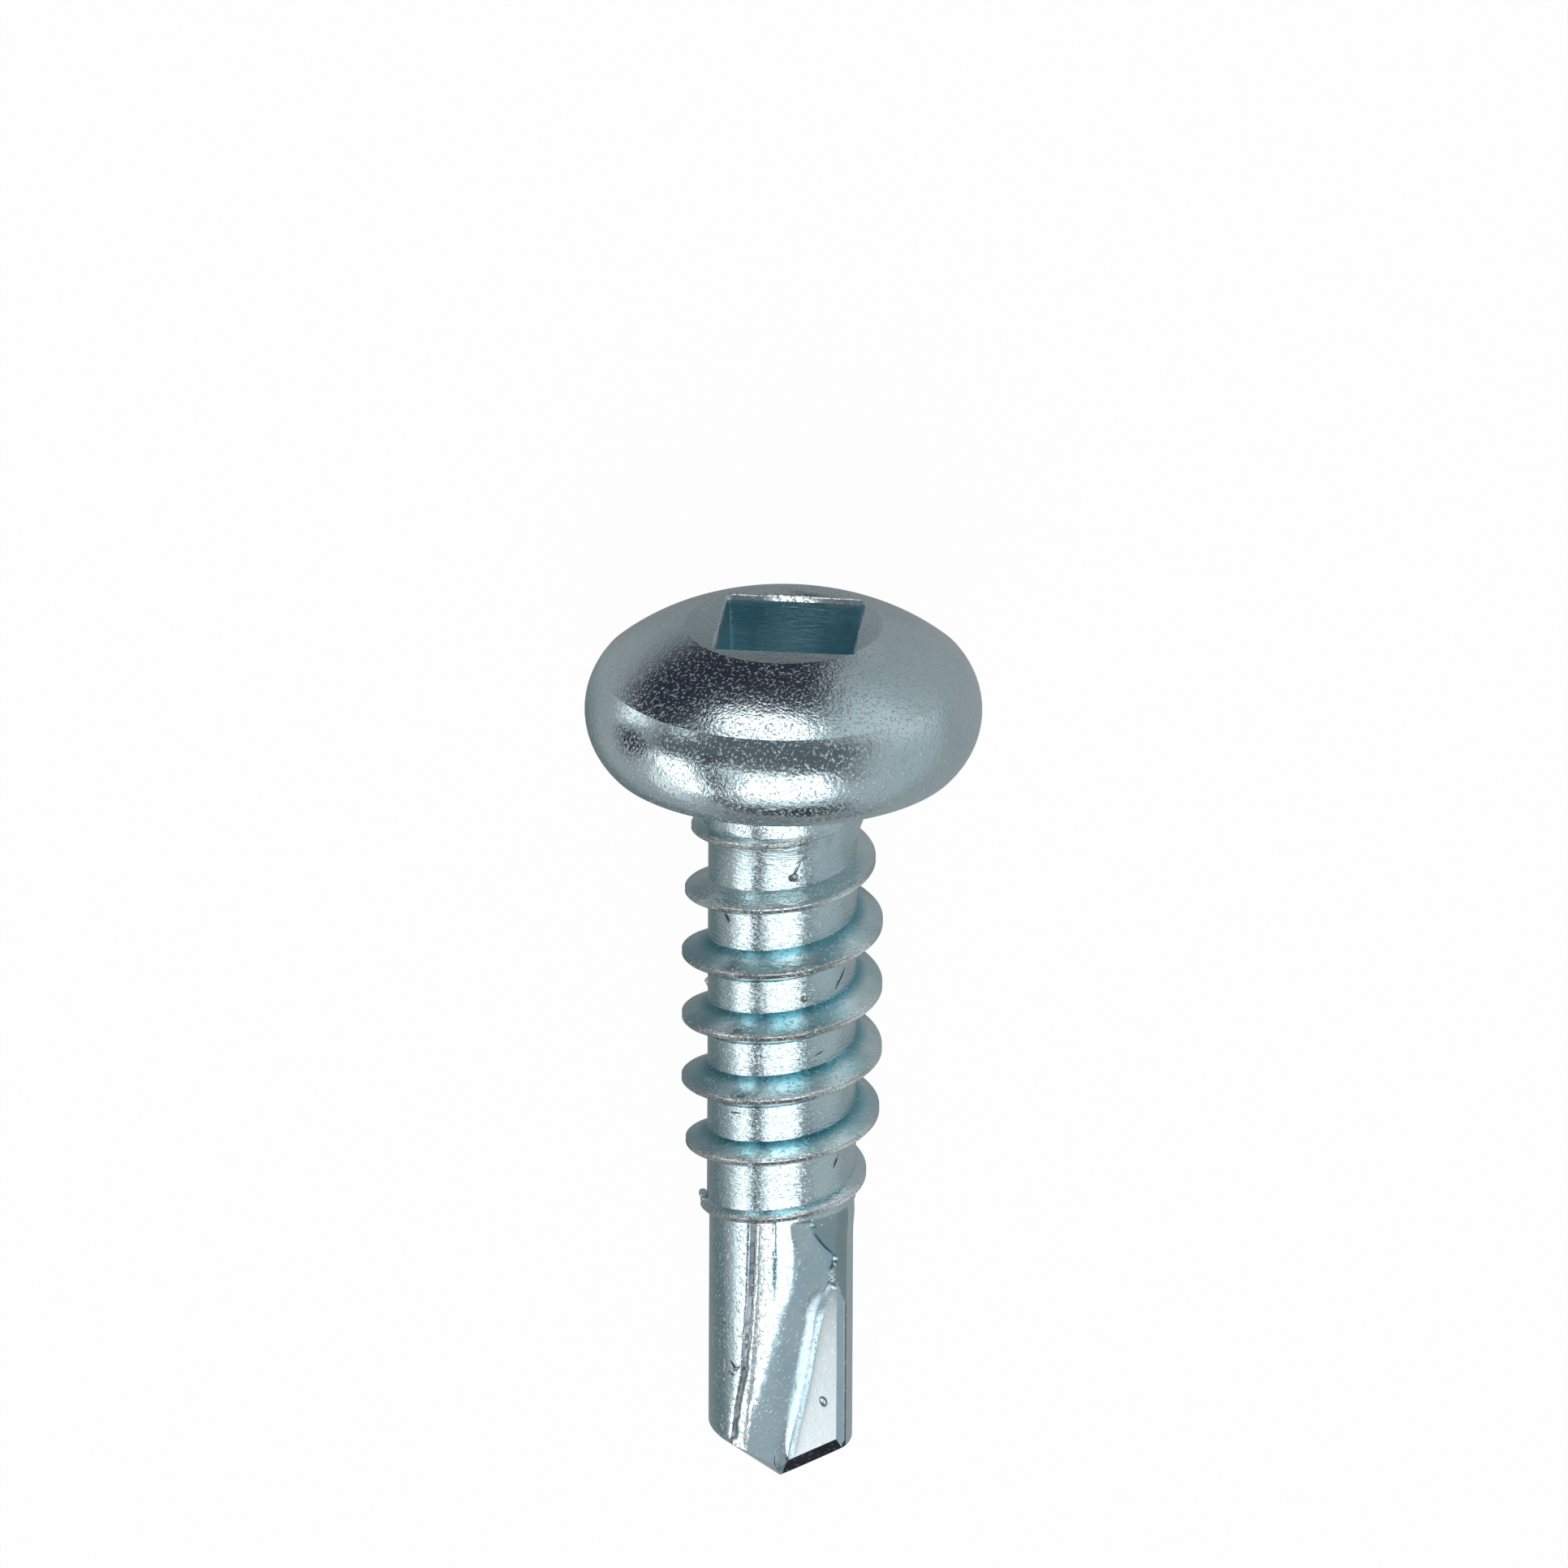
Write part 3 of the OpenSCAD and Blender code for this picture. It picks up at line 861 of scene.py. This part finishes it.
def mark_up(screw):
    """The nicks, burrs, torn metal and dent of a screw that has been through a hopper."""
    for k, (under, angle, reach, half_l, half_w, depth, spin) in enumerate(NICKS):
        tool = lump("nick", (half_l, depth, half_w), (radians(angle), -under, reach), radians(-spin), k)
        give_finishes(tool, ["nick"] * len(tool.data.polygons))
        cut(screw, tool)
    for k, (under, angle, reach, size) in enumerate(BURRS):
        burr = lump("burr", (size, size, size), (radians(angle), -under, reach), 0, 20 + k, 0.3)
        give_finishes(burr, ["rim"] * len(burr.data.polygons))
        cut(screw, burr, "UNION")
    random.seed(4)
    for k in range(TORN_PIECES):
        h = random.choice((random.uniform(4.7, 5.15), random.uniform(4.8, 5.1), random.uniform(6.1, 6.25)))
        angle = random.uniform(22, 48) if h > 6 else lookup(h, LEAD_EDGE) - random.uniform(-1, 4)
        size = [random.uniform(0.02, 0.05), 0.035, random.uniform(0.02, 0.06)]
        torn = lump("torn", size, (radians(angle), h - LENGTH, DRILL_R - 0.03), random.uniform(-1, 1), 40 + k, 0.6)
        give_finishes(torn, ["rim"] * len(torn.data.polygons))
        cut(screw, torn, "UNION")
    # The dent in the cutting face: a shallow bowl with a raised rim
    deselect()
    bpy.ops.mesh.primitive_torus_add(
        major_radius=DENT_R, minor_radius=DENT_RIM_R, major_segments=32, minor_segments=10
    )
    rim = new_piece("dent_rim")
    give_finishes(rim, ["nick"] * len(rim.data.polygons))
    deselect()
    bpy.ops.mesh.primitive_ico_sphere_add(subdivisions=3, radius=DENT_R)
    bowl = new_piece("dent_bowl")
    give_finishes(bowl, ["hollow"] * len(bowl.data.polygons))
    to_face = (
        Matrix.Rotation(WING_TURN, 4, "Z")
        @ Matrix.Translation((DENT_ALONG_FACE, -FACE_OFFSET, -DENT_UNDER_SEAT))
        @ Matrix.Rotation(pi / 2, 4, "X")
    )
    for piece, stretch in ((rim, (0.8, 1.15, 1)), (bowl, (0.72, 1.05, 0.35))):
        piece.data.transform(to_face @ Matrix.Rotation(radians(25), 4, "Z") @ Matrix.Diagonal((*stretch, 1)))
    cut(screw, rim, "UNION")
    cut(screw, bowl)


def drop_crumbs(screw):
    """Removes the flat crumbs that the joins can leave beside the screw, so that one shell stays."""
    activate(screw)
    bpy.ops.object.mode_set(mode="EDIT")
    bpy.ops.mesh.select_mode(type="VERT")
    bpy.ops.mesh.select_all(action="DESELECT")
    bpy.ops.object.mode_set(mode="OBJECT")
    screw.data.vertices[int(np.argmax(places(screw)[:, 2]))].select = True
    bpy.ops.object.mode_set(mode="EDIT")
    bpy.ops.mesh.select_linked()
    bpy.ops.mesh.select_all(action="INVERT")
    bpy.ops.mesh.delete(type="VERT")
    bpy.ops.object.mode_set(mode="OBJECT")


def make_screw():
    screw = make_blank()
    give_finishes(screw, ["head" if face.center.z > -PEBBLED_TO else "shank" for face in screw.data.polygons])
    tool = make_recess_tool()
    lip_from = HEAD_H - REAR_LIP
    give_finishes(tool, ["rim" if face.center.z > lip_from else "recess" for face in tool.data.polygons])
    cut(screw, tool)
    cut(screw, make_drill(), "UNION")
    cut(screw, make_thread(), "UNION")
    mark_up(screw)
    drop_crumbs(screw)
    return screw


def mark_creases(screw):
    """Keeps the edge of the flat on top of the head and the crease under the dome crisp."""
    co = places(screw)
    for ring_r, ring_z in ((LAND_R, HEAD_H), (CREASE_R, CREASE_H)):
        off = np.hypot(np.hypot(co[:, 0], co[:, 1]) - ring_r, co[:, 2] - ring_z)
        on_ring = off < 1e-3
        for edge in screw.data.edges:
            if on_ring[edge.vertices[0]] and on_ring[edge.vertices[1]]:
                edge.use_edge_sharp = True


screw = make_screw()
mark_creases(screw)
screw.name = screw.data.name = "zinc_plated_screw"
screw.data.transform(lay_down @ Matrix.Scale(MM, 4))
activate(screw)
bpy.ops.object.shade_smooth_by_angle(angle=radians(28))

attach(screw, "root")
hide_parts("screw")

# Camera: 23.5 degrees above square to the screw, as in the photo
PX = 0.01646
IMAGE_W = 1932
LENS = 1200.0
SENSOR = 36.0
CAMERA_RISE = radians(23.5)
CAMERA_LEAN = radians(0.25)
SEAT_ROW = 930.7
AXIS_COLUMN = 965.0
MIDDLE = IMAGE_W / 2
aim = Vector(((MIDDLE - AXIS_COLUMN + 0.1) * PX, 0, -(MIDDLE - SEAT_ROW) * PX / cos(CAMERA_RISE)))
camera_back = Vector((0, -cos(CAMERA_RISE), sin(CAMERA_RISE)))
camera_up = Vector((0, sin(CAMERA_RISE), cos(CAMERA_RISE)))
turn = Matrix((Vector((1, 0, 0)), camera_up, camera_back)).transposed().to_4x4()
distance = IMAGE_W * PX * LENS / SENSOR
camera_data = bpy.data.cameras.new("camera")
camera_data.lens = LENS
camera_data.clip_start = 0.01
camera_data.clip_end = 2
camera = bpy.data.objects.new("camera", camera_data)
bpy.context.scene.collection.objects.link(camera)
camera.matrix_world = (
    lay_down
    @ Matrix.Translation((aim + camera_back * distance) * MM)
    @ turn
    @ Matrix.Rotation(CAMERA_LEAN, 4, "Z")
)
bpy.context.scene.camera = camera

DARK = (0.03, 0.03, 0.045)
GLARE = (1.25, 1.3, 1.32)
# Painted reflections on the floor that show in the plating alone: glare that glows though no lamp is there,
# dark and grey patches, and a painted shadow. Each: middle, half length and half width in millimetres, turn,
# softness in millimetres and colour
PAINTED_FLOOR_REFLECTIONS = [
    # Painted dark reflection: a dark patch that only the plating sees
    ("left_painted_dark_reflection", (-48, 7.5), 35, 4.5, 0.0, 2.5, DARK),
    # Painted light: a patch of floor that glows in the plating though no lamp is there
    ("low_painted_glare", (-32, -15), 14, 8, 0.0, 4.0, GLARE),
    # Painted grey reflection on the right, seen only in the plating
    ("right_painted_grey_reflection", (32, 45), 13, 26, 0.0, 5.0, (0.42, 0.48, 0.5)),
    # Painted shadow: the screw's own shade on the floor beside it, seen only in the plating
    ("under_left_painted_shadow", (-3.9, -4), 2.2, 12, 0.0, 1.5, (0.16, 0.2, 0.21)),
    # Painted dark reflection beyond the tip, seen only in the plating
    ("tip_painted_dark_reflection", (0, -27), 16, 8, 0.0, 3.0, DARK),
    # Painted light: a glowing patch of floor seen only in the plating
    ("left_painted_glare", (-21, 17.5), 11, 2.5, radians(150), 2.0, GLARE),
]
# Slopes of the sides of the painted dark reflection beyond the head
DARK_REFLECTION_SLOPE = 0.28
DARK_REFLECTION_SLOPE_LEFT = 1.0
# Floor: white to the camera but for a faint shadow, paler than it lights the screw
deselect()
bpy.ops.mesh.primitive_plane_add(size=0.6, location=(0, 0, 0))
floor = new_piece("floor")
paper = bpy.data.materials.new("floor_paper")
paper.use_nodes = True
t = Tree(paper.node_tree)
lit = t.tree.nodes["Principled BSDF"]
lit.inputs["Base Color"].default_value = (0.42, 0.44, 0.45, 1)
lit.inputs["Roughness"].default_value = 0.9
lit.inputs["Specular IOR Level"].default_value = 0.1
rays = t.node("LightPath").outputs
white = t.node("Emission", {"Color": (1, 1, 1, 1), "Strength": 1.0})
seen = t.math("MAXIMUM", rays["Is Camera Ray"], rays["Is Transmission Ray"])
share = t.math("ADD", t.math("MULTIPLY", seen, 0.98), t.math("MULTIPLY", rays["Is Glossy Ray"], 0.15))
paper_mix = t.node("MixShader", {0: share, 1: lit.outputs[0], 2: white.outputs[0]})
# Beyond the head a painted dark reflection shows in the plating alone: a dark patch on the floor that only glossy
# rays see
x, y, z = t.node("SeparateXYZ", {0: t.node("TexCoord").outputs["Object"]}).outputs
beyond = t.math("SUBTRACT", y, cad_box[1].y)
dark_reflection = t.ramp(beyond, 0.001, 0.006)
right_edge = t.math("SUBTRACT", x, t.math("MULTIPLY", beyond, DARK_REFLECTION_SLOPE))
left_edge = t.math("ADD", x, t.math("MULTIPLY", beyond, DARK_REFLECTION_SLOPE_LEFT))
dark_reflection = t.math("MULTIPLY", dark_reflection, t.math("SUBTRACT", 1.0, t.ramp(right_edge, 0.0, 0.004)))
dark_reflection = t.math("MULTIPLY", dark_reflection, t.ramp(left_edge, -0.008, -0.003))
dark = t.node("Emission", {"Color": (*DARK, 1), "Strength": 1.0}).outputs[0]
shown = t.node("MixShader", {0: t.math("MULTIPLY", dark_reflection, rays["Is Glossy Ray"]), 1: paper_mix.outputs[0], 2: dark})
# Each painted reflection is an emission on the floor that only glossy rays see
for name, middle, half_l, half_w, spin, soft, colour in PAINTED_FLOOR_REFLECTIONS:
    inside = rays["Is Glossy Ray"]
    for part, half in ((0, half_l), (1, half_w)):
        line = Vector((cos(spin), sin(spin))) if part == 0 else Vector((-sin(spin), cos(spin)))
        off = t.math("ADD", t.math("MULTIPLY", x, line.x), t.math("MULTIPLY", y, line.y))
        off = t.math("ABSOLUTE", t.math("SUBTRACT", off, line.dot(Vector(middle)) * MM))
        within = t.math("SUBTRACT", 1.0, t.ramp(off, (half - soft) * MM, (half + soft) * MM))
        inside = t.math("MULTIPLY", inside, within)
    shade = t.node("Emission", {"Color": (*colour, 1), "Strength": 1.0}).outputs[0]
    shown = t.node("MixShader", {0: inside, 1: shown.outputs[0], 2: shade})
t.tree.links.new(shown.outputs[0], t.tree.nodes["Material Output"].inputs["Surface"])
floor.data.materials.append(paper)

# World: a grey-teal room with dark patches, as the plating mirrors them. A patch has the azimuth from the
# front and the angle from the head's end of its middle, its half width and half height as shares of a
# sphere's radius, the turn of its sides, the softness of its edge and its colour
ROOM = (0.42, 0.48, 0.5)
PATCHES = [
    ("camera_side", -27, 58, 0.93, 0.46, 0, 0.1, (0.12, 0.135, 0.15)),
    ("upper_glow", -33, 92, 0.1, 0.09, 0, 0.05, GLARE),
    ("right_side", 95, 45, 0.5, 0.5, 0, 0.25, (0.6, 0.66, 0.68)),
    ("low_glow", -4, 140, 0.4, 0.2, 0, 0.06, (1.05, 1.1, 1.12)),
    ("between_lamps", -42, 112, 0.1, 0.6, 0, 0.05, DARK),
    ("head_end", -143, 15, 0.42, 0.32, 143, 0.12, DARK),
    ("head_left", -72, 50, 0.07, 0.17, 20, 0.05, (1.4, 1.46, 1.48)),
    ("tip_end", 0, 172, 0.4, 0.4, 0, 0.15, DARK),
]


def way_to(azimuth, polar):
    """Direction at an angle round the screw from its front and an angle from its head's end."""
    a, p = radians(azimuth), radians(polar)
    return Vector((sin(a) * sin(p), -cos(a) * sin(p), cos(p)))


world = bpy.data.worlds.new("studio")
bpy.context.scene.world = world
world.use_nodes = True
t = Tree(world.node_tree)
way = t.node("Mapping", {"Vector": t.node("TexCoord").outputs["Generated"]})
way.inputs["Rotation"].default_value = to_screw.to_euler()
colour = t.node("RGB").outputs[0]
colour.default_value = (*ROOM, 1)
for name, azimuth, polar, half_w, half_h, spin, soft, shade in PATCHES:
    middle = way_to(azimuth, polar)
    across = Vector((cos(radians(azimuth)), sin(radians(azimuth)), 0))
    across = Matrix.Rotation(radians(spin), 3, middle) @ across
    inside = t.ramp(t.node("VectorMath", {0: way.outputs[0], 1: middle}, operation="DOT_PRODUCT").outputs["Value"], 0, 0.1)
    for line, half in ((across, half_w), (middle.cross(across), half_h)):
        off = t.node("VectorMath", {0: way.outputs[0], 1: line}, operation="DOT_PRODUCT").outputs["Value"]
        within = t.math("SUBTRACT", 1.0, t.ramp(t.math("ABSOLUTE", off), half - soft, half + soft))
        inside = t.math("MULTIPLY", inside, within)
    colour = t.mix(inside, colour, (*shade, 1))
background = t.tree.nodes["Background"]
t.tree.links.new(colour, background.inputs["Color"])
background.inputs["Strength"].default_value = 1


def lamp(name, azimuth, polar, reach, width, length, level, spin=0):
    """A soft area lamp, placed by its angle round the screw from the front and its angle from the head's end."""
    way = way_to(azimuth, polar)
    data = bpy.data.lights.new(name, "AREA")
    data.shape = "RECTANGLE"
    data.size, data.size_y = width, length
    data.energy = level * pi * width * length
    obj = bpy.data.objects.new(name, data)
    bpy.context.scene.collection.objects.link(obj)
    side = Vector((cos(radians(azimuth)), sin(radians(azimuth)), 0))
    side = Matrix.Rotation(radians(spin), 3, way) @ side
    up = way.cross(side)
    facing = Matrix((side, up, way)).transposed().to_4x4()
    lower = Matrix.Translation(seat_place) @ lay_down.to_3x3().to_4x4()
    obj.matrix_world = lower @ Matrix.Translation(way * reach) @ facing
    obj.visible_camera = False
    return obj


lamp("front_lamp", 1, 113, 0.3, 0.27, 0.21, 1.5)
lamp("left_lamp", -74, 113, 0.3, 0.24, 0.25, 1.5)
lamp("head_lamp", -37, 11, 0.3, 0.19, 0.07, 2.1, 20)

bpy.context.scene.view_settings.view_transform = "Standard"
